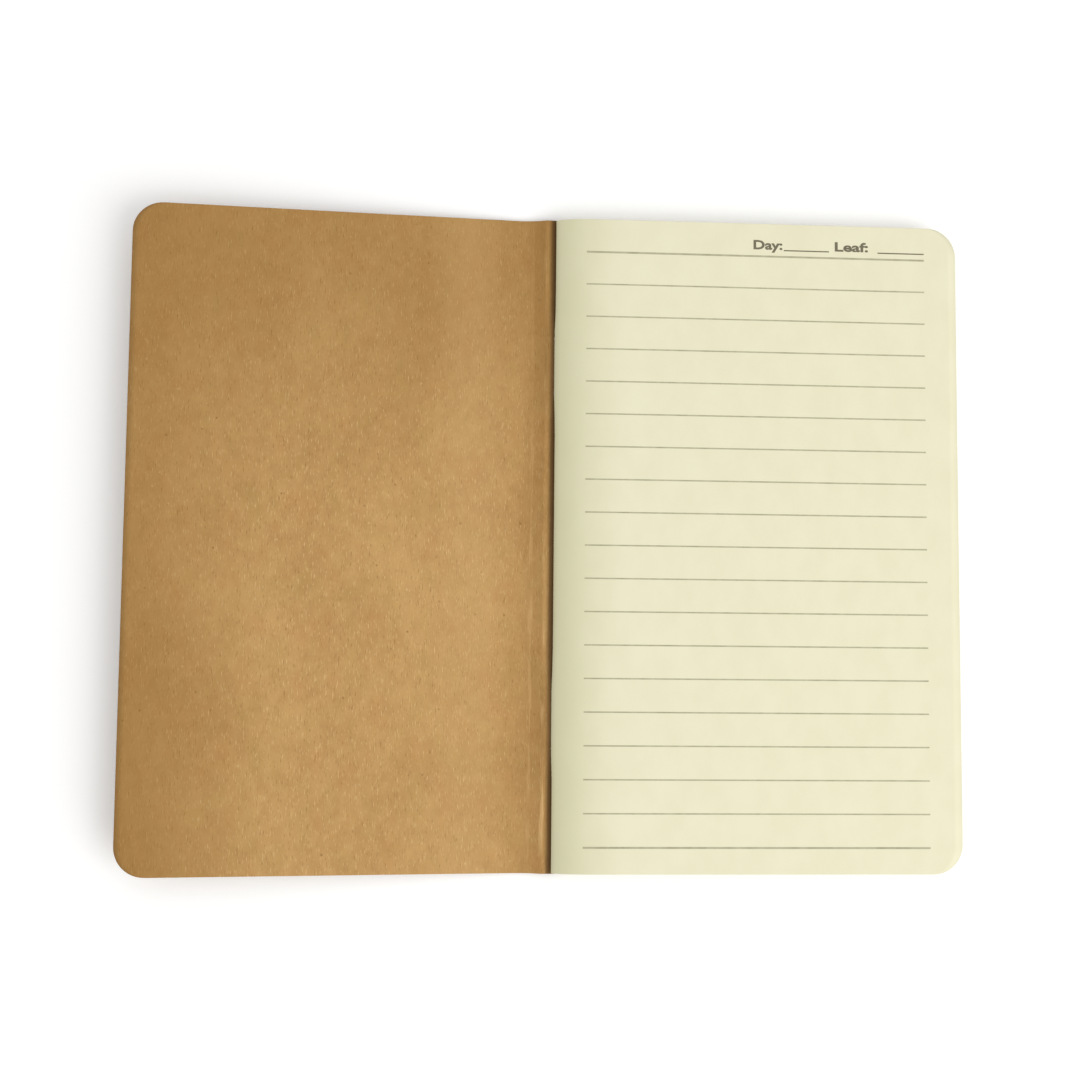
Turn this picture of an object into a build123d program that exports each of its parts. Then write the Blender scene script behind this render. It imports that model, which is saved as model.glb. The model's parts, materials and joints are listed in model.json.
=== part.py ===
from build123d import *
import math
import os

# A saddle-stitched pocket notebook that lies open at its first page. Millimetres, +Z up.
# +X runs from the spine to the fore edge and +Y from foot to head.
# The origin is the middle of the closed booklet's flat underside.

# Trimmed booklet
booklet_height = 140.0  # foot to head
booklet_width = 89.0  # outside of the spine fold to the fore edge
corner_radius = 6.35  # the two trimmed corners at the fore edge

# Stock
card_thickness = 0.30  # kraft cover card
paper_thickness = 0.09  # 80 g/m2 writing paper
sheet_count = 12  # folded sheets, each of which makes two leaves

# How the booklet lies
leaf_pitch = 0.16  # height from one leaf to the next in the relaxed block
centre_gap = 0.54  # height between the two middle leaves, held apart by the clinched wire
lay_clearance = 0.035  # between each cover and the leaf beside it
nest_clearance = 0.01  # between nested sheets at their folds
crease_slope = 32.0  # degrees that folded sheets and cover strips stand off level at the spine
cover_lift = 5.0  # degrees that the opened front cover stands up from the table

# Room to turn
fold_zone_radius = 4.0  # paper within this of the leaves' turning line stays with the spine
fold_zone_gap = 0.05  # between a leaf and the bent paper at its root
hinge_bare = 0.35  # bent card on each side of the cover's fold line

# Staples
wire_diameter = 0.40
staple_spread = 76.0  # middle to middle, along the spine
crown_length = 12.0
clinch_length = 4.5
wire_bend = 0.30  # centre-line radius of each bend
wire_hole_clearance = 0.03
crown_stand_off = 0.42  # crown's centre line from the cover's fold line
crown_direction = 262.0  # degrees, in the valley between the opened cover's two strips
clinch_stand_in = 0.60  # clinched wire's centre line from the innermost crease

# Levels, measured up from the table
half_block = centre_gap / 2 + (sheet_count - 1) * leaf_pitch
fold_level = card_thickness + lay_clearance + paper_thickness / 2 + half_block
panel_offset = fold_level - card_thickness / 2
slope_sine = math.sin(math.radians(crease_slope))
slope_tangent = math.tan(math.radians(crease_slope))

# Places along X
fore_edge = booklet_width / 2
cover_fold = -booklet_width / 2 + card_thickness / 2 / slope_sine
crease_step = (paper_thickness + nest_clearance) / slope_sine
outer_crease = cover_fold + ((paper_thickness + card_thickness) / 2 + nest_clearance) / slope_sine
inner_crease = outer_crease + (sheet_count - 1) * crease_step
leaf_turning_line = (outer_crease + inner_crease) / 2


def sheet_offset(sheet):
    """Height of a sheet's upper leaf above the fold level. Sheet 1 is the outermost."""
    return centre_gap / 2 + (sheet_count - sheet) * leaf_pitch


def zone_edge(offset, radius):
    """X where a circle about the leaves' turning line reaches a height offset from that line."""
    return leaf_turning_line + math.sqrt(radius**2 - offset**2)


def band(points, thickness):
    """Section of a sheet of even thickness along a bent centre line of (x, z) points."""
    spots = [Vector(x, z) for x, z in points]
    runs = [(b - a).normalized() for a, b in zip(spots, spots[1:])]
    left = []
    right = []
    for i, spot in enumerate(spots):
        before = runs[max(i - 1, 0)]
        after = runs[min(i, len(runs) - 1)]
        across = Vector(-before.Y - after.Y, before.X + after.X).normalized()
        reach = thickness / 2 / across.dot(Vector(-after.Y, after.X))
        left.append(spot + across * reach)
        right.append(spot - across * reach)
    return make_face(Polyline(*left, *reversed(right), close=True))


def full_height(section):
    """A section in the XZ plane carried over the whole height of the booklet."""
    return extrude(Plane.XZ * section, amount=booklet_height / 2, both=True)


def round_fore_corners(sheet):
    corners = sheet.edges().filter_by(Axis.Z).group_by(Axis.X)[-1]
    return fillet(corners, corner_radius)


def make_leaf(level):
    """One flat leaf, from just outside the fold zone to the fore edge."""
    nearest = max(abs(level - fold_level) - paper_thickness / 2, 0)
    start = zone_edge(nearest, fold_zone_radius + fold_zone_gap)
    section = band([(start, level), (fore_edge, level)], paper_thickness)
    return round_fore_corners(full_height(section))


def make_fold(sheet, holes):
    """The bent root of one sheet: two short level legs joined by two slopes at the crease."""
    offset = sheet_offset(sheet)
    crease = outer_crease + (sheet - 1) * crease_step
    bend = crease + offset / slope_tangent
    end = zone_edge(offset + paper_thickness / 2, fold_zone_radius)
    upper = [(end, fold_level + offset), (bend, fold_level + offset)]
    lower = [(bend, fold_level - offset), (end, fold_level - offset)]
    section = band(upper + [(crease, fold_level)] + lower, paper_thickness)
    return full_height(section) - holes


def make_cover(side):
    """One half of the card as it lies when closed: side is -1 below the block and 1 above it."""
    level = fold_level + side * panel_offset
    score = cover_fold + panel_offset / slope_tangent
    slope = math.radians(crease_slope)
    start_x = cover_fold + hinge_bare * math.cos(slope)
    start_z = fold_level + side * hinge_bare * math.sin(slope)
    section = band([(start_x, start_z), (score, level), (fore_edge, level)], card_thickness)
    return round_fore_corners(full_height(section))


# Staple wire, in the plane of the spine: crown outside the fold, clinch inside the middle sheet
crown_x = cover_fold + crown_stand_off * math.cos(math.radians(crown_direction))
crown_z = fold_level + crown_stand_off * math.sin(math.radians(crown_direction))
clinch_x = inner_crease + clinch_stand_in
staple_places = [("foot", -staple_spread / 2), ("head", staple_spread / 2)]


def make_staple(middle):
    low = middle - crown_length / 2
    high = middle + crown_length / 2
    route = FilletPolyline(
        (clinch_x, high - clinch_length, fold_level),
        (clinch_x, high, fold_level),
        (crown_x, high, crown_z),
        (crown_x, low, crown_z),
        (clinch_x, low, fold_level),
        (clinch_x, low + clinch_length, fold_level),
        radius=wire_bend,
    )
    wire = Plane(origin=route @ 0, z_dir=route % 0) * Circle(wire_diameter / 2)
    return sweep(wire, path=route)


def make_leg_holes():
    """Round holes for all four staple legs, from outside the card to inside the middle sheet."""
    way = Vector(clinch_x - crown_x, 0, fold_level - crown_z)
    opening = Circle(wire_diameter / 2 + wire_hole_clearance)
    holes = []
    for name, middle in staple_places:
        for end in (-1, 1):
            start = Vector(crown_x, middle + end * crown_length / 2, crown_z)
            holes.append(extrude(Plane(origin=start, z_dir=way) * opening, amount=way.length))
    return holes


os.makedirs("parts", exist_ok=True)
leg_holes = make_leg_holes()

export_step(make_cover(-1) - leg_holes, "parts/back_cover.step")

closed_cover = make_cover(1)
cover_hinge = Axis((cover_fold, 0, fold_level), (0, -1, 0))
export_step(closed_cover.rotate(cover_hinge, 180 - cover_lift), "parts/front_cover.step")

for sheet in range(1, sheet_count + 1):
    export_step(make_fold(sheet, leg_holes), f"parts/fold_{sheet:02d}.step")
    upper_leaf = make_leaf(fold_level + sheet_offset(sheet))
    lower_leaf = make_leaf(fold_level - sheet_offset(sheet))
    export_step(upper_leaf, f"parts/leaf_{sheet:02d}.step")
    export_step(lower_leaf, f"parts/leaf_{2 * sheet_count + 1 - sheet:02d}.step")

for name, middle in staple_places:
    export_step(make_staple(middle), f"parts/staple_{name}.step")

print(f"cover hinge x {cover_fold:.4f} z {fold_level:.4f}, leaf line x {leaf_turning_line:.4f}")
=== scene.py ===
import json
import math
import bpy
import numpy as np
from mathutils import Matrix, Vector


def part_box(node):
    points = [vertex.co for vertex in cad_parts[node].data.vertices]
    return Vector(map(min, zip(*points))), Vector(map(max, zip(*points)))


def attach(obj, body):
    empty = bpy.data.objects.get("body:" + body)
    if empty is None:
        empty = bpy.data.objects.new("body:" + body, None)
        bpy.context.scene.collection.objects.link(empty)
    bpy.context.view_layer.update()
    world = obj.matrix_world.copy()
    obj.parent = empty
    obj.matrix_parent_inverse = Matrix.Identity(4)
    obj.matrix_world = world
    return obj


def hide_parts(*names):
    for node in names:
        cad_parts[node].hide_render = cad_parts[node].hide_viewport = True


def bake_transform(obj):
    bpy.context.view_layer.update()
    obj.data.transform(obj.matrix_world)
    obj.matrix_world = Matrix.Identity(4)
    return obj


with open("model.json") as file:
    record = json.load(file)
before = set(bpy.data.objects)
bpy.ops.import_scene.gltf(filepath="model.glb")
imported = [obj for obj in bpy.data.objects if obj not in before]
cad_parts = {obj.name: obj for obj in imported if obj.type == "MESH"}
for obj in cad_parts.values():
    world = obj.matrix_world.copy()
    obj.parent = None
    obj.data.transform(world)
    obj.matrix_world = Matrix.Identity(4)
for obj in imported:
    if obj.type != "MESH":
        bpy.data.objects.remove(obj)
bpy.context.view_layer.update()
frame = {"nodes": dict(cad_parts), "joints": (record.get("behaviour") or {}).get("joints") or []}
print("notebook: frame loaded")

mm = 0.001


def jointPlace(name):
    joint = [j for j in frame["joints"] if j["name"] == name][0]
    return joint["pos_m"]


coverFoldX = jointPlace("open_cover")[0]
coverFoldZ = jointPlace("open_cover")[2]
leafLineX = jointPlace("turn_leaf_01")[0]
leafLow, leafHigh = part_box("leaf_01")
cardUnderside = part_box("back_cover")[0].z
foreEdge = leafHigh.x
foot = leafLow.y
head = leafHigh.y
sheetCount = len([n for n in frame["nodes"] if n.startswith("fold_")])

booklet = {
    "paperThickness": 0.085 * mm,
    "cardThickness": 0.30 * mm,
    "creaseSlope": math.radians(32),  # of the paper where it leaves its fold
    "cornerRadius": 6.35 * mm,
    "easing": 2.6,  # how gently the paper comes level, away from its fold
    "quick": 0.15,  # share of that climb the upper half makes in the first millimetre
    "climb": 10 * mm,  # beyond this the leaves are free of the fold
    "sink": 0.36 * mm,  # of the upper half, which lies on the lower one at the fore edge
    "standOff": 0.5 * mm,  # of the sheets from the card's fold
    "looseness": 0.03 * mm,  # of one leaf on the next
    "waves": 38, "sinkWaves": 30,  # radians for each metre along a leaf
    "sinkUneven": 0.25,
    "trim": 0.12 * mm,  # most that a leaf falls short of the fore edge
    "stapleReach": 10.5 * mm,  # how far from its middle a staple holds the fold together
    "stapleDraw": 0.45,  # share of the stand-off that a staple takes up
    "stapleFade": 1.2 * mm,  # how far from the fold that is felt
    "rows": 29, "cornerRows": 13,  # of a sheet's grid, between and round its corners
    "columns": (20, 14, 8),  # of a leaf's grid, over its climb, to the corners and round them
}
coverLevel = coverFoldZ - cardUnderside - booklet["cardThickness"] / 2  # from the fold to the card's middle
scoreAt = coverLevel / math.sin(booklet["creaseSlope"])  # from the fold, along the card


# sRGB hex to linear light: the low part is a straight line, the rest a power of 2.4.
def inkFromHex(code):
    parts = [int(code[i:i + 2], 16) / 255 for i in (0, 2, 4)]
    return tuple(c / 12.92 if c <= 0.04045 else ((c + 0.055) / 1.055) ** 2.4 for c in parts) + (1,)


# Sets inputs of a node. A value is another node's output or a plain number, vector or colour.
def joinInputs(tree, node, values):
    for key, value in values.items():
        if isinstance(value, bpy.types.NodeSocket):
            tree.links.new(value, node.inputs[key])
        else:
            node.inputs[key].default_value = value


# Adds one node with its settings and links, and gives back one of its outputs.
def addNode(tree, kind, settings=None, links=None, out=0):
    node = tree.nodes.new("ShaderNode" + kind)
    for key, value in (settings or {}).items():
        setattr(node, key, value)
    joinInputs(tree, node, links or {})
    return node.outputs[out]


# Settings used again and again. A smooth Map Range takes 0 the value, 1 and 2 its range, 3 and 4 what it
# gives at their ends. A blended Mix takes 0 the share, 6 and 7 the colours, and its result is output 2.
smooth = {"interpolation_type": "SMOOTHSTEP"}
blended = {"data_type": "RGBA"}
plus = {"operation": "ADD"}
minus = {"operation": "SUBTRACT"}
times = {"operation": "MULTIPLY"}
timesPlus = {"operation": "MULTIPLY_ADD"}
divided = {"operation": "DIVIDE"}
absolute = {"operation": "ABSOLUTE"}
rounded = {"operation": "ROUND"}
below = {"operation": "LESS_THAN"}
above = {"operation": "GREATER_THAN"}


def newMaterial(name):
    material = bpy.data.materials.new(name)
    material.use_nodes = True
    tree = material.node_tree
    return material, tree, tree.nodes["Principled BSDF"]


# Noise whose grain is (across, along) in metres, turned by an angle about Z.
def stretchedNoise(tree, coords, grain, detail=2.0, turn=0.0, shift=0.0):
    placed = addNode(tree, "Mapping", None, {
        "Vector": coords, "Location": (shift, shift * 0.7, 0), "Rotation": (0, 0, turn),
        "Scale": (1 / grain[0], 1 / grain[1], 1 / grain[0])})
    return addNode(tree, "TexNoise", None, {
        "Vector": placed, "Scale": 1.0, "Detail": detail, "Roughness": 0.55}, "Fac")


# Lays a colour over another as a value passes from low to high, at most by share.
def layColour(tree, under, code, value, low, high, share=1.0):
    amount = addNode(tree, "MapRange", smooth, {0: value, 1: low, 2: high, 4: share})
    return addNode(tree, "Mix", blended, {0: amount, 6: under, 7: inkFromHex(code)}, 2)


kraft = {
    "light": "BD965F", "dark": "AA824E", "ruddy": "B4804C", "olive": "A68A4E",
    "paleFibre": "CFAE79", "darkFibre": "7C5A30",
    # pale for wear and painted highlight, dark for painted shade and age toning, near black for painted
    # shade in the crease
    "worn": "CDA771", "toned": "8A6229", "creased": "442E12",
    "roughness": 0.88, "specular": 0.25, "relief": 0.04 * mm,
    "cloud": (22 * mm, 30.8 * mm), "flock": (2.4 * mm, 3.6 * mm),  # uneven pulp, and its clumps
    "cloudShare": 0.56,
    "tint": (5 * mm, 9 * mm),
    "tints": (("ruddy", 0.70, 0.26), ("olive", 0.30, 0.24)),  # where the tint is full, and its share
    "fibre": (0.29 * mm, 1.8 * mm),  # real ones are 0.03 mm wide; these are coarser, to show
    "fibreTurns": ((0.04, 3.0), (-0.30, 11.0), (1.53, 23.0)),  # radians, and a place in the noise
    "fibreTones": (("paleFibre", 0.63, 0.74, 0.66), ("darkFibre", 0.36, 0.25, 0.52)),
    "speckSpacing": 3.4 * mm,
    "specks": ((0, 0.70, "darkFibre"), (1, 0.78, "paleFibre")),  # rarer towards 1
    "ragged": (0.5 * mm, 10 * mm), "patchy": (9 * mm, 20 * mm), "wander": 2.4 * mm,
    # painted shade: a strip beside the fold, and darker towards the head and the free edge, partly age
    # toning
    "strip": {"head": 1.5 * mm, "foot": 10 * mm, "share": 0.30},  # how far it reaches past the score
    "nearHead": {"from": 0.0, "to": 68 * mm, "share": 0.42},
    "nearFree": {"from": 52 * mm, "to": 94 * mm, "head": 0.34, "foot": 0.66},
    # a paler band, partly painted light and partly thumbs' rubbing
    "handled": {"middle": 18 * mm, "reach": 11 * mm, "share": 0.20},
    # pale lines: inside, painted highlights along the score and the fold's ridge, partly rubbing; outside,
    # rubbing only
    "rubbedWidth": 0.5 * mm,
    "rubbedInside": ((scoreAt, 0.34), (1.3 * mm, 0.75)),  # distance from the fold, and share
    "rubbedOutside": ((scoreAt, 0.5), (0.3 * mm, 0.8)),
    # painted shade along the crease, where the first leaf's fold shades the card
    "crease": {"reach": 1.15 * mm, "share": 0.80},
}


# Unbleached kraft card, uncoated and calendered: matt brown with long pulp fibres, pale and dark flecks
# and a faint cloudiness. It is darker towards the head and the free edge, painted shade partly with age
# toning, and in a strip beside the fold, painted shade; a paler band beside the fold is painted light,
# partly thumbs' rubbing, and pale lines along the score and the fold's ridge are painted highlights, partly
# rubbing.
# Inside, the crease is nearly black with painted shade; outside, rubbing by handling has left the spine
# pale.
def makeKraftCard(name, inside):
    material, tree, shader = newMaterial(name)
    uv = addNode(tree, "UVMap", {"uv_map": "sheet"})
    along = addNode(tree, "SeparateXYZ", None, {0: uv}).node.outputs
    cloud = stretchedNoise(tree, uv, kraft["cloud"], 3.0)
    flock = stretchedNoise(tree, uv, kraft["flock"], 4.0, shift=61.0)
    clumps = addNode(tree, "Math", times, {0: flock, 1: 1 - kraft["cloudShare"]})
    pulp = addNode(tree, "Math", timesPlus, {0: cloud, 1: kraft["cloudShare"], 2: clumps})
    colour = layColour(tree, inkFromHex(kraft["dark"]), kraft["light"], pulp, 0.28, 0.72)
    tint = stretchedNoise(tree, uv, kraft["tint"], 4.0, shift=31.0)
    for shade, full, share in kraft["tints"]:
        colour = layColour(tree, colour, kraft[shade], tint, 0.50, full, share)

    height = flock
    for turn, shift in kraft["fibreTurns"]:
        fibre = stretchedNoise(tree, uv, kraft["fibre"], 1.5, turn, shift)
        for shade, low, high, share in kraft["fibreTones"]:
            colour = layColour(tree, colour, kraft[shade], fibre, low, high, share)
        height = addNode(tree, "Math", plus, {0: height, 1: fibre})
    specks = addNode(tree, "TexVoronoi", {"feature": "F1"}, {
        "Vector": uv, "Scale": 1 / kraft["speckSpacing"]}).node.outputs
    pick = addNode(tree, "SeparateXYZ", None, {0: specks["Color"]}).node.outputs
    spot = addNode(tree, "MapRange", smooth, {0: specks["Distance"], 1: 0.10, 2: 0.04, 4: 0.6})
    for axis, rarity, shade in kraft["specks"]:
        chosen = addNode(tree, "MapRange", smooth, {0: pick[axis], 1: rarity, 2: rarity + 0.02})
        amount = addNode(tree, "Math", times, {0: chosen, 1: spot})
        colour = addNode(tree, "Mix", blended, {0: amount, 6: colour, 7: inkFromHex(kraft[shade])}, 2)

    # the distance from the fold, made ragged
    ragged = stretchedNoise(tree, uv, kraft["ragged"], 4.0, shift=47.0)
    patchy = stretchedNoise(tree, uv, kraft["patchy"], 2.0, shift=71.0)
    wander = addNode(tree, "Math", timesPlus, {0: ragged, 1: kraft["wander"], 2: -kraft["wander"] / 2})
    acrossCard = addNode(tree, "Math", minus, {0: along[0], 1: wander})

    # painted shade in a strip beside the fold, which widens from head to foot, then painted shade towards
    # the head and the free edge, partly age toning
    strip = kraft["strip"]
    stripEnd = addNode(tree, "MapRange", smooth, {
        0: along[1], 1: 50 * mm, 2: -30 * mm, 3: scoreAt + strip["head"], 4: scoreAt + strip["foot"]})
    stripShare = addNode(tree, "MapRange", smooth, {
        0: acrossCard, 1: stripEnd, 2: scoreAt - 0.8 * mm, 4: strip["share"]})
    uneven = addNode(tree, "Math", timesPlus, {0: patchy, 1: 0.8, 2: 0.5})
    inStrip = addNode(tree, "Math", times, {0: stripShare, 1: uneven})
    colour = addNode(tree, "Mix", blended, {0: inStrip, 6: colour, 7: inkFromHex(kraft["toned"])}, 2)
    tone = kraft["nearHead"]
    colour = layColour(tree, colour, kraft["toned"], along[1], tone["from"], tone["to"], tone["share"])
    tone = kraft["nearFree"]
    share = addNode(tree, "MapRange", smooth, {
        0: along[1], 1: 68 * mm, 2: -68 * mm, 3: tone["head"], 4: tone["foot"]})
    colour = layColour(tree, colour, kraft["toned"], along[0], tone["from"], tone["to"], share)

    # a paler band beside the fold, partly painted light and partly thumbs' rubbing; inside, pale lines along
    # the score and the fold's ridge, painted highlights partly rubbed in; outside, rubbing along the score
    # and the spine; these lines less so towards the head
    tone = kraft["handled"]
    offMiddle = addNode(tree, "Math", minus, {0: along[0], 1: tone["middle"]})
    offMiddle = addNode(tree, "Math", absolute, {0: offMiddle})
    colour = layColour(tree, colour, kraft["worn"], offMiddle, tone["reach"], 0.0, tone["share"])
    lower = addNode(tree, "MapRange", smooth, {0: along[1], 1: 60 * mm, 2: -10 * mm, 3: 0.35, 4: 1.0})
    for place, share in kraft["rubbedInside"] if inside else kraft["rubbedOutside"]:
        near = addNode(tree, "Math", minus, {0: acrossCard, 1: place})
        near = addNode(tree, "Math", absolute, {0: near})
        rubAndHighlightLine = addNode(tree, "MapRange", smooth, {0: near, 1: kraft["rubbedWidth"], 2: 0.0, 4: share})
        rubAndHighlight = addNode(tree, "MapRange", smooth, {0: patchy, 1: 0.42, 2: 0.60})
        rubAndHighlight = addNode(tree, "Math", times, {0: rubAndHighlightLine, 1: rubAndHighlight})
        rubAndHighlight = addNode(tree, "Math", times, {0: rubAndHighlight, 1: lower})
        colour = addNode(tree, "Mix", blended, {0: rubAndHighlight, 6: colour, 7: inkFromHex(kraft["worn"])}, 2)
        patchy = addNode(tree, "Math", minus, {0: 1.0, 1: patchy})
    if inside:
        # painted shade along the crease, nearly black, where the first leaf's fold shades the card
        creaseShadeAt = addNode(tree, "Math", timesPlus, {0: ragged, 1: 0.5 * mm, 2: along[0]})
        tone = kraft["crease"]
        colour = layColour(tree, colour, kraft["creased"], creaseShadeAt, tone["reach"], -0.1 * mm, tone["share"])
    relief = addNode(tree, "Bump", None, {"Height": height, "Strength": 0.30, "Distance": kraft["relief"]})
    joinInputs(tree, shader, {
        "Base Color": colour, "Normal": relief,
        "Roughness": kraft["roughness"], "Specular IOR Level": kraft["specular"]})
    return material


cutEdge = {"layers": (0.5 * mm, 0.25 * mm), "roughness": 0.95, "specular": 0.15}


# A guillotined edge: the same stock without its smooth face, so paler and rougher, in fine layers.
def makeCutEdge(name, pale, deep):
    material, tree, shader = newMaterial(name)
    coords = addNode(tree, "TexCoord", None, None, "Object")
    layers = stretchedNoise(tree, coords, cutEdge["layers"], 2.0)
    joinInputs(tree, shader, {
        "Base Color": layColour(tree, inkFromHex(deep), pale, layers, 0.3, 0.7),
        "Roughness": cutEdge["roughness"], "Specular IOR Level": cutEdge["specular"]})
    return material


ruling = {
    "count": 19, "top": 62.8 * mm, "pitch": 7.07 * mm,
    "left": -36.85 * mm, "right": 37.45 * mm,
    "width": 0.30 * mm, "endWidth": 0.42 * mm,  # the first and last lines are heavier
    "soft": 0.05 * mm,  # edge of a printed line
    "ink": "7E7A60", "strength": 0.62,
}
paper = {
    "face": "DFDBBE", "shade": "DCD8BA", "dusty": "B6B48A",
    "roughness": 0.9, "specular": 0.2, "relief": 0.02 * mm,
    "cloud": (6 * mm, 9 * mm), "tooth": (0.35 * mm, 0.45 * mm),
    "feather": (0.5 * mm, 0.3 * mm), "dry": (2.5 * mm, 2.5 * mm),  # of the ink's edge and of its patches
    "gutter": leafLineX - 1 * mm,
    # painted shade by the fold, where the page curves down into the gutter
    "dust": {"reach": 17 * mm, "share": 0.47},
}


# Uncoated wood-free writing paper, cream dyed: matt, with the faint cloud of its formation, and
# offset-printed grey-olive lines whose ink spreads a little into the fibres. Painted shade greys it towards
# the fold, where the page curves down into the gutter.
def makeRuledPaper():
    material, tree, shader = newMaterial("uncoatedCreamPaperOffsetRuled")
    uv = addNode(tree, "UVMap", {"uv_map": "sheet"})
    place = addNode(tree, "SeparateXYZ", None, {0: uv}).node.outputs
    cloud = stretchedNoise(tree, uv, paper["cloud"], 3.0)
    colour = layColour(tree, inkFromHex(paper["shade"]), paper["face"], cloud, 0.3, 0.7)
    gutter = paper["gutter"]
    dust = paper["dust"]
    # painted shade, darker towards the fold, where the page curves down into the gutter
    colour = layColour(tree, colour, paper["dusty"], place[0], gutter + dust["reach"], gutter, dust["share"])

    # how far a point is inside the nearest line
    feather = stretchedNoise(tree, uv, paper["feather"], 2.0, shift=9.0)
    down = addNode(tree, "Math", minus, {0: ruling["top"], 1: place[1]})
    down = addNode(tree, "Math", divided, {0: down, 1: ruling["pitch"]})
    nearest = addNode(tree, "Math", rounded, {0: down})
    away = addNode(tree, "Math", minus, {0: down, 1: nearest})
    away = addNode(tree, "Math", absolute, {0: away})
    away = addNode(tree, "Math", times, {0: away, 1: ruling["pitch"]})
    middle = (ruling["count"] - 1) / 2
    fromMiddle = addNode(tree, "Math", minus, {0: nearest, 1: middle})
    fromMiddle = addNode(tree, "Math", absolute, {0: fromMiddle})
    real = addNode(tree, "Math", below, {0: fromMiddle, 1: middle + 0.5})
    isEnd = addNode(tree, "Math", above, {0: fromMiddle, 1: middle - 0.5})
    wider = (ruling["endWidth"] - ruling["width"]) / 2
    half = addNode(tree, "Math", timesPlus, {0: isEnd, 1: wider, 2: ruling["width"] / 2})
    spread = addNode(tree, "Math", timesPlus, {0: feather, 1: 0.06 * mm, 2: -0.03 * mm})
    inside = addNode(tree, "Math", plus, {0: half, 1: spread})
    inside = addNode(tree, "Math", minus, {0: inside, 1: away})
    soft = ruling["soft"]
    inked = addNode(tree, "MapRange", smooth, {0: inside, 1: -soft, 2: soft})

    # between the ends of the line, and patchy where the ink was thin
    centre = (ruling["left"] + ruling["right"]) / 2
    reach = (ruling["right"] - ruling["left"]) / 2
    sideways = addNode(tree, "Math", minus, {0: place[0], 1: centre})
    sideways = addNode(tree, "Math", absolute, {0: sideways})
    within = addNode(tree, "MapRange", smooth, {0: sideways, 1: reach + soft, 2: reach - soft})
    patchy = stretchedNoise(tree, uv, paper["dry"], 2.0, shift=3.0)
    strength = addNode(tree, "Math", timesPlus, {0: patchy, 1: 0.5, 2: ruling["strength"] - 0.25})
    drawn = addNode(tree, "Math", times, {0: inked, 1: within})
    share = addNode(tree, "Math", times, {0: real, 1: strength})
    share = addNode(tree, "Math", times, {0: drawn, 1: share})
    colour = addNode(tree, "Mix", blended, {0: share, 6: colour, 7: inkFromHex(ruling["ink"])}, 2)
    tooth = stretchedNoise(tree, uv, paper["tooth"], 3.0, shift=13.0)
    relief = addNode(tree, "Bump", None, {"Height": tooth, "Strength": 0.12, "Distance": paper["relief"]})
    joinInputs(tree, shader, {
        "Base Color": colour, "Normal": relief,
        "Roughness": paper["roughness"], "Specular IOR Level": paper["specular"]})
    return material


ink = {"deep": "5C5644", "pale": "7A745E", "mottle": (0.4 * mm, 0.4 * mm), "roughness": 0.85}


# Offset ink laid on uncoated paper: flat, matt, slightly mottled where the fibres drank it.
def makeInk():
    material, tree, shader = newMaterial("offsetPrintedInk")
    coords = addNode(tree, "TexCoord", None, None, "Object")
    mottle = stretchedNoise(tree, coords, ink["mottle"], 2.0)
    colour = addNode(tree, "Mix", blended, {
        0: mottle, 6: inkFromHex(ink["deep"]), 7: inkFromHex(ink["pale"])}, 2)
    joinInputs(tree, shader, {"Base Color": colour, "Roughness": ink["roughness"]})
    return material


staple = {
    "dull": "8C8C8A", "bright": "C4C4C0",
    "drawMarks": (0.05 * mm, 1.5 * mm),
    "smoothest": 0.28, "roughest": 0.5,
}


# Galvanised stitching wire, cold drawn: dull silver with fine draw marks along it.
def makeStapleWire():
    material, tree, shader = newMaterial("galvanisedDrawnWire")
    coords = addNode(tree, "TexCoord", None, None, "Object")
    marks = stretchedNoise(tree, coords, staple["drawMarks"], 3.0)
    colour = addNode(tree, "Mix", blended, {
        0: marks, 6: inkFromHex(staple["dull"]), 7: inkFromHex(staple["bright"])}, 2)
    rough = addNode(tree, "MapRange", smooth, {
        0: marks, 1: 0.2, 2: 0.8, 3: staple["smoothest"], 4: staple["roughest"]})
    joinInputs(tree, shader, {"Base Color": colour, "Roughness": rough, "Metallic": 1.0})
    return material


kraftInside = makeKraftCard("uncoatedKraftCardInside", True)
kraftOutside = makeKraftCard("uncoatedKraftCardOutside", False)
kraftEdge = makeCutEdge("guillotinedKraftEdge", "C4A06C", "A67E4A")
ruledPaper = makeRuledPaper()
paperEdge = makeCutEdge("guillotinedPaperEdge", "E6E2C8", "D6D0B2")
printInk = makeInk()
stapleWire = makeStapleWire()
print("notebook: materials made")


# Y of each row of a sheet, and how far each row stops short of the fore edge. The rows run evenly
# between the rounded corners and then by equal angles round each quarter circle. over is how far the
# sheet reaches past the leaves at head and foot.
def rowPlaces(over):
    radius = booklet["cornerRadius"]
    angles = np.linspace(0, math.pi / 2, booklet["cornerRows"])[1:]
    straight = np.linspace(foot - over + radius, head + over - radius, booklet["rows"])
    ups = head + over - radius + radius * np.sin(angles)
    downs = (foot + head) - ups[::-1]
    y = np.concatenate([downs, straight, ups])
    short = radius * (1 - np.cos(angles))
    return y, np.concatenate([short[::-1], np.zeros(straight.size), short])


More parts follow.
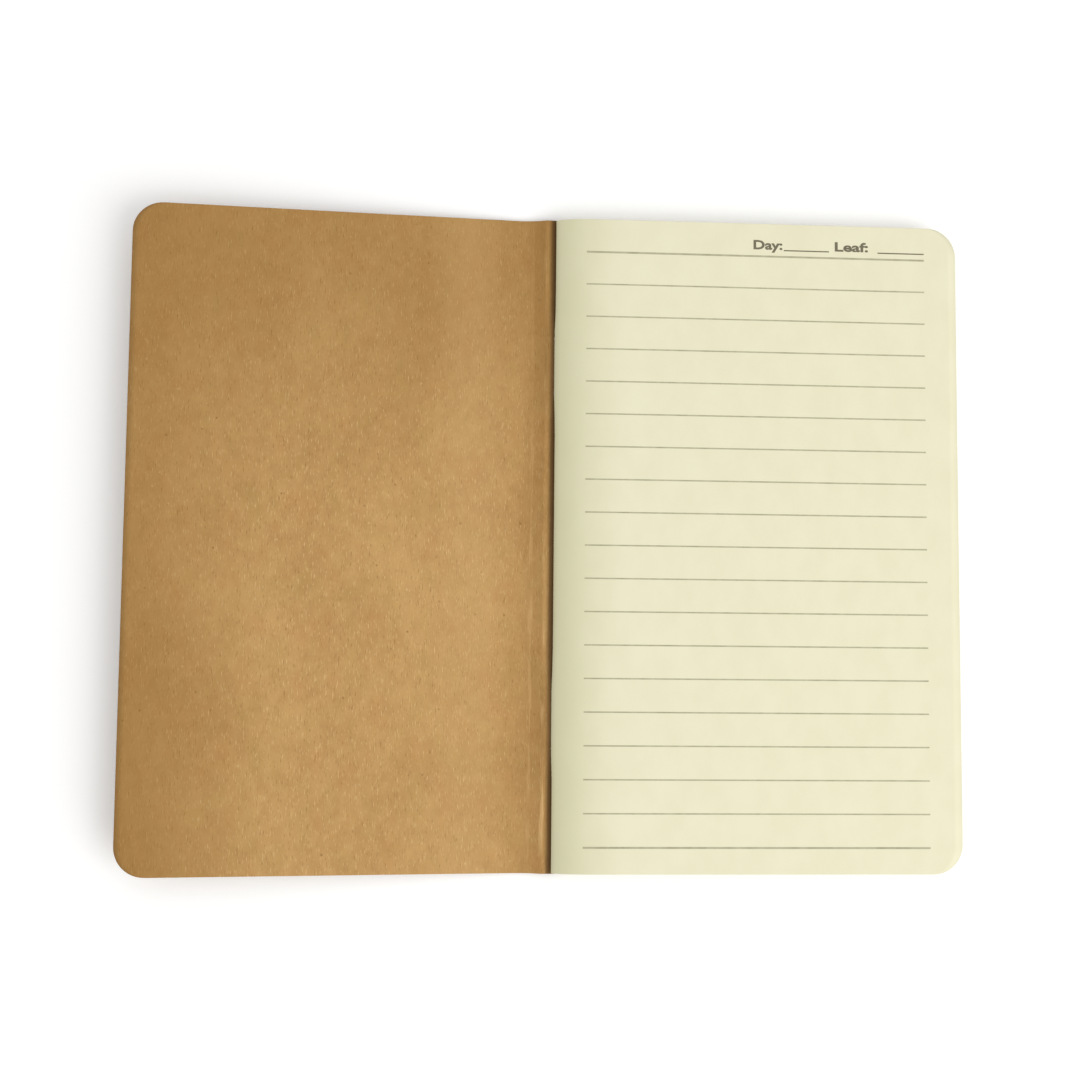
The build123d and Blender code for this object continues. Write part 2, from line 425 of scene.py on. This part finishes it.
# A thin sheet. along holds each column's distance from the fold, place turns distances into points (x,
# z) of the middle surface, and edge is the distance of the fore edge. Columns within two corner radii
# of the edge close up, row by row, so that the sheet ends on its rounded outline. materials are the
# upper face's, the cut edge's and, if it differs, the lower face's.
def sheetMesh(name, along, place, edge, materials, thickness, over=0):
    y, short = rowPlaces(over)
    begin = edge - 2 * booklet["cornerRadius"]
    share = np.clip((along - begin) / (edge - begin), 0, 1)
    distance = along[None, :] - share[None, :] * short[:, None]
    rows = np.repeat(y[:, None], along.size, 1)
    x, z = place(distance, rows)
    points = np.stack([x, rows, z], 2).reshape(-1, 3)
    wide = along.size
    corner = (np.arange(y.size - 1)[:, None] * wide + np.arange(wide - 1)[None, :]).reshape(-1)
    faces = np.stack([corner, corner + 1, corner + wide + 1, corner + wide], 1)
    if x[0, -1] < x[0, 0]:
        faces = faces[:, ::-1]
    mesh = bpy.data.meshes.new(name)
    mesh.from_pydata(points.tolist(), [], faces.tolist())
    flat = np.stack([distance, rows], 2).reshape(-1, 2)
    layer = mesh.uv_layers.new(name="sheet")
    loops = np.zeros(len(mesh.loops), np.int32)
    mesh.loops.foreach_get("vertex_index", loops)
    layer.data.foreach_set("uv", flat[loops].reshape(-1).astype(np.float32))
    mesh.polygons.foreach_set("use_smooth", np.ones(len(mesh.polygons), bool))
    piece = bpy.data.objects.new(name, mesh)
    bpy.context.collection.objects.link(piece)
    for material in materials:
        mesh.materials.append(material)
    solid = piece.modifiers.new("stock", "SOLIDIFY")
    solid.thickness = thickness
    solid.offset = 0
    solid.use_rim = True
    solid.material_offset_rim = 1
    solid.material_offset = 2 if len(materials) > 2 else 0
    return piece


# Middle of a sheet at its fold, which stands off the fold of the card.
def creaseX(sheet):
    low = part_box(f"fold_{sheet:02d}")[0]
    return low.x + booklet["paperThickness"] / 2 / math.sin(booklet["creaseSlope"]) + booklet["standOff"]


# 1 at the middle of each staple and 0 away from it, along exp(-(distance / reach)^6).
def stapleHold(rows):
    low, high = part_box("staple_head")
    middle = (low.y + high.y) / 2
    return np.exp(-((np.abs(rows) - middle) / booklet["stapleReach"]) ** 6)


# Height of a leaf at a distance from its crease. It leaves the fold at the crease's slope and comes
# level along 1 - (1 - t)^easing, with a small quicker climb 1 - (1 - q)^3 in the first millimetre. Past
# its crest the upper half sinks to the lower one by sink times 3f^2 - 2f^3, and each leaf waves by less
# than its gap, along a sine of Y. The staples draw the crease to the card, fading as exp(-distance).
def leafPlace(sheet, level, number):
    crease = creaseX(sheet)
    offset = level - coverFoldZ
    reach = booklet["easing"] * abs(offset) / math.tan(booklet["creaseSlope"])
    quick = booklet["quick"] if offset > 0 else 0
    slack = np.random.default_rng(number).uniform(-1, 1, 3)

    def place(distance, rows):
        t = np.clip(distance / reach, 0, 1)
        q = np.clip(distance / mm, 0, 1)
        rise = (1 - quick) * (1 - (1 - t) ** booklet["easing"]) + quick * (1 - (1 - q) ** 3)
        far = np.clip((distance - booklet["climb"]) / (foreEdge - crease - booklet["climb"]), 0, 1)
        far = far * far * (3 - 2 * far)
        wave = slack[0] * np.sin(rows * booklet["waves"] + 4 * slack[1]) + 0.5 * slack[2]
        z = coverFoldZ + offset * rise + booklet["looseness"] * wave * far
        if offset > 0:
            uneven = booklet["sinkUneven"] * np.sin(rows * booklet["sinkWaves"] + 0.9)
            z = z - booklet["sink"] * far * (1 + uneven)
        drawn = booklet["stapleDraw"] * booklet["standOff"] * stapleHold(rows)
        return crease + distance - drawn * np.exp(-distance / booklet["stapleFade"]), z

    return place


# Distances of a leaf's columns: closer by the power 1.5 towards the fold, even beyond its climb.
def leafColumns(edge):
    cornerStart = edge - 2 * booklet["cornerRadius"]
    counts = booklet["columns"]
    near = np.linspace(0, 1, counts[0]) ** 1.5 * booklet["climb"]
    far = np.linspace(booklet["climb"], cornerStart, counts[1])[1:]
    corner = np.linspace(cornerStart, edge, counts[2])[1:]
    return np.concatenate([near, far, corner])


# Starts the printed pattern at the trimmed page's own left, so u is the page's x in the frame.
def shiftPattern(piece, crease):
    layer = piece.data.uv_layers["sheet"]
    flat = np.zeros(len(layer.data) * 2, np.float32)
    layer.data.foreach_get("uv", flat)
    flat[0::2] += crease
    layer.data.foreach_set("uv", flat)


def makeLeaf(number):
    name = f"leaf_{number:02d}"
    sheet = min(number, 2 * sheetCount + 1 - number)
    low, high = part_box(name)
    level = (low.z + high.z) / 2
    crease = creaseX(sheet)
    edge = foreEdge - crease - np.random.default_rng(100 + number).uniform(0, 1) * booklet["trim"]
    place = leafPlace(sheet, level, number)
    leaf = sheetMesh(f"ruledLeaf_{number:02d}", leafColumns(edge), place, edge,
                     [ruledPaper, paperEdge], booklet["paperThickness"])
    shiftPattern(leaf, crease)
    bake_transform(leaf)
    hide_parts(name)
    if number <= sheetCount:
        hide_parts(f"fold_{sheet:02d}")
    return place, crease


header = {
    "labels": [("Day:", -0.4 * mm, 6.4 * mm), ("Leaf:", 17.6 * mm, 7.4 * mm)],  # word, left, width
    "blanks": [(6.3 * mm, 16.3 * mm), (27.1 * mm, 37.4 * mm)],
    "baseline": 64.4 * mm, "capHeight": 2.05 * mm,
    "blankAt": 64.2 * mm, "lineWidth": 0.26 * mm,
    "lift": 0.012 * mm,  # of the ink off the paper
    "boldness": 0.032,  # thickens the strokes
    "fontCapital": 0.73,  # of the font's unit height
}


# A word as flat faces: its outline is scaled to the wanted width and capital height.
def wordMesh(word, left, width):
    curve = bpy.data.curves.new("word", "FONT")
    curve.body = word
    curve.resolution_u = 3  # few faces, since it is printed 48 times
    curve.offset = header["boldness"]
    maker = bpy.data.objects.new("word", curve)
    bpy.context.collection.objects.link(maker)
    bpy.context.view_layer.update()
    mesh = bpy.data.meshes.new_from_object(maker)
    bpy.data.objects.remove(maker)
    points = np.zeros(len(mesh.vertices) * 3, np.float32)
    mesh.vertices.foreach_get("co", points)
    points = points.reshape(-1, 3).astype(float)
    points[:, 0] = left + (points[:, 0] - points[:, 0].min()) * width / np.ptp(points[:, 0])
    points[:, 1] = header["baseline"] + points[:, 1] * header["capHeight"] / header["fontCapital"]
    faces = [list(p.vertices) for p in mesh.polygons]
    bpy.data.meshes.remove(mesh)
    return points[:, :2], faces


# Both words and both blanks as one list of flat points and faces.
def headerOutline():
    flat, faces, start = [], [], 0
    for word, left, width in header["labels"]:
        points, found = wordMesh(word, left, width)
        flat.append(points)
        faces += [[v + start for v in f] for f in found]
        start += len(points)
    half = header["lineWidth"] / 2
    for left, right in header["blanks"]:
        y = header["blankAt"]
        flat.append(np.array([(left, y - half), (right, y - half), (right, y + half), (left, y + half)]))
        faces.append([start, start + 1, start + 2, start + 3])
        start += 4
    return np.concatenate(flat), faces


# The header printed on both faces of a leaf, a hair off the paper. On the back it is mirrored between
# its own left and right, which keeps it towards the fore edge and readable from behind.
def makeHeader(number, place, crease, outline):
    flat, faces = outline
    across = header["labels"][0][1] + header["blanks"][-1][1]
    rise = booklet["paperThickness"] / 2 + header["lift"]
    sides = []
    for x, lift in ((flat[:, 0], rise), (across - flat[:, 0], -rise)):
        placedX, z = place(x - crease, flat[:, 1])
        sides.append(np.stack([placedX, flat[:, 1], z + lift], 1))
    back = [[v + len(flat) for v in face] for face in faces]
    mesh = bpy.data.meshes.new(f"printedHeader_{number:02d}")
    mesh.from_pydata(np.concatenate(sides).tolist(), [], faces + back)
    mesh.materials.append(printInk)
    piece = bpy.data.objects.new(mesh.name, mesh)
    bpy.context.collection.objects.link(piece)
    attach(piece, f"leaf_{number:02d}")


outline = headerOutline()
for number in range(1, 2 * sheetCount + 1):
    place, crease = makeLeaf(number)
    makeHeader(number, place, crease, outline)
print("notebook: leaves made")


cover = {
    "scoreRound": 6.5 * mm,  # length of card that bends at each score
    "foldReach": 1.3 * mm,  # of the rounded fold, each side
    "foldLow": 0.65 * mm, "foldHigh": 0.5 * mm,  # its control point, under and over the fold line
    "joinAt": 0.95 * mm,  # where the two covers' meshes meet, under the first leaf
    "bendFrom": 0.6 * mm,  # on the back cover's side, where the card begins to turn with the front one
    "lift": math.radians(5),
    "overhang": 0.25 * mm,  # past the leaves at head and foot
    "strips": (2.6 * mm, 8 * mm),  # ends of the finely gridded card by the fold and over the score
    "columns": (24, 16, 26, 9),  # to those ends, to the corners and round them
    "steps": 4000,  # in which the path is summed up
}


# Middle of the card across its fold, at x from the fold line: a quadratic curve between a point on each
# strip. Its control point is under the fold line, and over it where a staple holds the card.
def foldHeight(x, rows):
    reach = cover["foldReach"]
    t = (x + reach) / (2 * reach)
    control = -cover["foldLow"] + (cover["foldLow"] + cover["foldHigh"]) * stapleHold(rows)
    left = -reach * math.tan(booklet["creaseSlope"] - cover["lift"])
    right = -reach * math.tan(booklet["creaseSlope"])
    return (1 - t) ** 2 * left + 2 * t * (1 - t) * control + t * t * right


# The card from the fold outwards, before it is turned: its direction falls evenly from the crease's
# slope to level over the score's curve, and is summed up along the card.
def coverPath(steps):
    part = np.clip((steps - scoreAt) / cover["scoreRound"] + 0.5, 0, 1)
    angle = booklet["creaseSlope"] * (1 - part)
    x = np.concatenate([[0], np.cumsum(np.cos(angle[:-1]) * np.diff(steps))])
    z = np.concatenate([[0], np.cumsum(np.sin(angle[:-1]) * np.diff(steps))])
    return x, z


# One cover, side 1 for the front and -1 for the back, turned about the fold. join is where its mesh
# begins: over the fold the card follows foldHeight, and past the fold's reach the turned path.
def makeCover(name, side, turn, join):
    edge = scoreAt + foreEdge - coverFoldX - coverLevel / math.tan(booklet["creaseSlope"])
    cornerStart = edge - 2 * booklet["cornerRadius"]
    steps = np.linspace(0, edge, cover["steps"])
    pathX, pathZ = coverPath(steps)
    pathZ = pathZ * side
    turnedX = pathX * math.cos(turn) - pathZ * math.sin(turn)
    turnedZ = pathX * math.sin(turn) + pathZ * math.cos(turn)
    ends = (join, *cover["strips"], cornerStart, edge)
    spans = [np.linspace(a, b, n)[1:] for a, b, n in zip(ends, ends[1:], cover["columns"])]
    distance = np.concatenate([[join], *spans])
    outwards = math.copysign(1, turnedX[-1])

    def place(d, rows):
        x = np.where(d < 0, outwards * d, np.interp(d, steps, turnedX))
        z = np.interp(d, steps, turnedZ)
        z = np.where(np.abs(x) < cover["foldReach"], foldHeight(x, rows), z)
        return coverFoldX + x, coverFoldZ + z

    piece = sheetMesh(name, distance, place, edge, [kraftInside, kraftEdge, kraftOutside],
                      booklet["cardThickness"], cover["overhang"])
    return piece


backCard = makeCover("backCoverCard", -1, 0, cover["joinAt"] / math.cos(booklet["creaseSlope"]))
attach(backCard, "booklet")
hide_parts("back_cover")
frontCard = makeCover("frontCoverCard", 1, math.pi - cover["lift"], -cover["joinAt"])
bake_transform(frontCard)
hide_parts("front_cover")
for name in ("staple_foot", "staple_head"):
    wire = frame["nodes"][name]
    wire.data.materials.clear()
    wire.data.materials.append(stapleWire)
print("notebook: cover and staples made")


studio = {
    "floor": "FDFDFC", "floorSize": 9.0, "floorRoughness": 0.9,
    "floorAt": -0.06 * mm,  # just clear of the card, so that the two never share a plane
    "key": {"place": (0.58, -0.42, 0.62), "size": 0.80, "power": 5.3},
    "fill": {"place": (-0.45, 0.55, 1.1), "size": 1.4, "power": 1.0},
    "sky": 0.80,
    "eye": (-0.0637, -0.0228, 0.3050),
    "tilt": (4.319, -3.331, 0.544),  # degrees about X, Y and Z
    "lens": 47.33, "sensor": 36, "clip": (0.01, 20),
}


def makeFloor():
    half = studio["floorSize"] / 2
    mesh = bpy.data.meshes.new("floor")
    level = studio["floorAt"]
    corners = [(-half, -half, level), (half, -half, level), (half, half, level), (-half, half, level)]
    mesh.from_pydata(corners, [], [(0, 1, 2, 3)])
    material, tree, shader = newMaterial("mattPaintedFloor")
    joinInputs(tree, shader, {
        "Base Color": inkFromHex(studio["floor"]), "Roughness": studio["floorRoughness"]})
    mesh.materials.append(material)
    floor = bpy.data.objects.new("floor", mesh)
    bpy.context.collection.objects.link(floor)


def makeLight(name, facts):
    lamp = bpy.data.lights.new(name, "AREA")
    lamp.energy = facts["power"]
    lamp.size = facts["size"]
    light = bpy.data.objects.new(name, lamp)
    light.location = facts["place"]
    direction = -light.location
    light.rotation_euler = direction.to_track_quat("-Z", "Y").to_euler()
    bpy.context.collection.objects.link(light)


def makeCamera():
    camera = bpy.data.objects.new("camera", bpy.data.cameras.new("camera"))
    camera.data.lens = studio["lens"]
    camera.data.sensor_width = studio["sensor"]
    camera.data.clip_start, camera.data.clip_end = studio["clip"]
    camera.location = studio["eye"]
    camera.rotation_euler = [math.radians(a) for a in studio["tilt"]]
    bpy.context.collection.objects.link(camera)
    bpy.context.scene.camera = camera


def makeSky():
    world = bpy.data.worlds.new("studioSky")
    world.use_nodes = True
    sky = world.node_tree.nodes["Background"]
    sky.inputs["Color"].default_value = (1, 1, 1, 1)
    sky.inputs["Strength"].default_value = studio["sky"]  # about what the far floor gives back
    bpy.context.scene.world = world


makeFloor()
makeLight("key", studio["key"])
makeLight("fill", studio["fill"])
makeSky()
makeCamera()
bpy.context.scene.view_settings.view_transform = "Standard"
print("notebook: studio made")
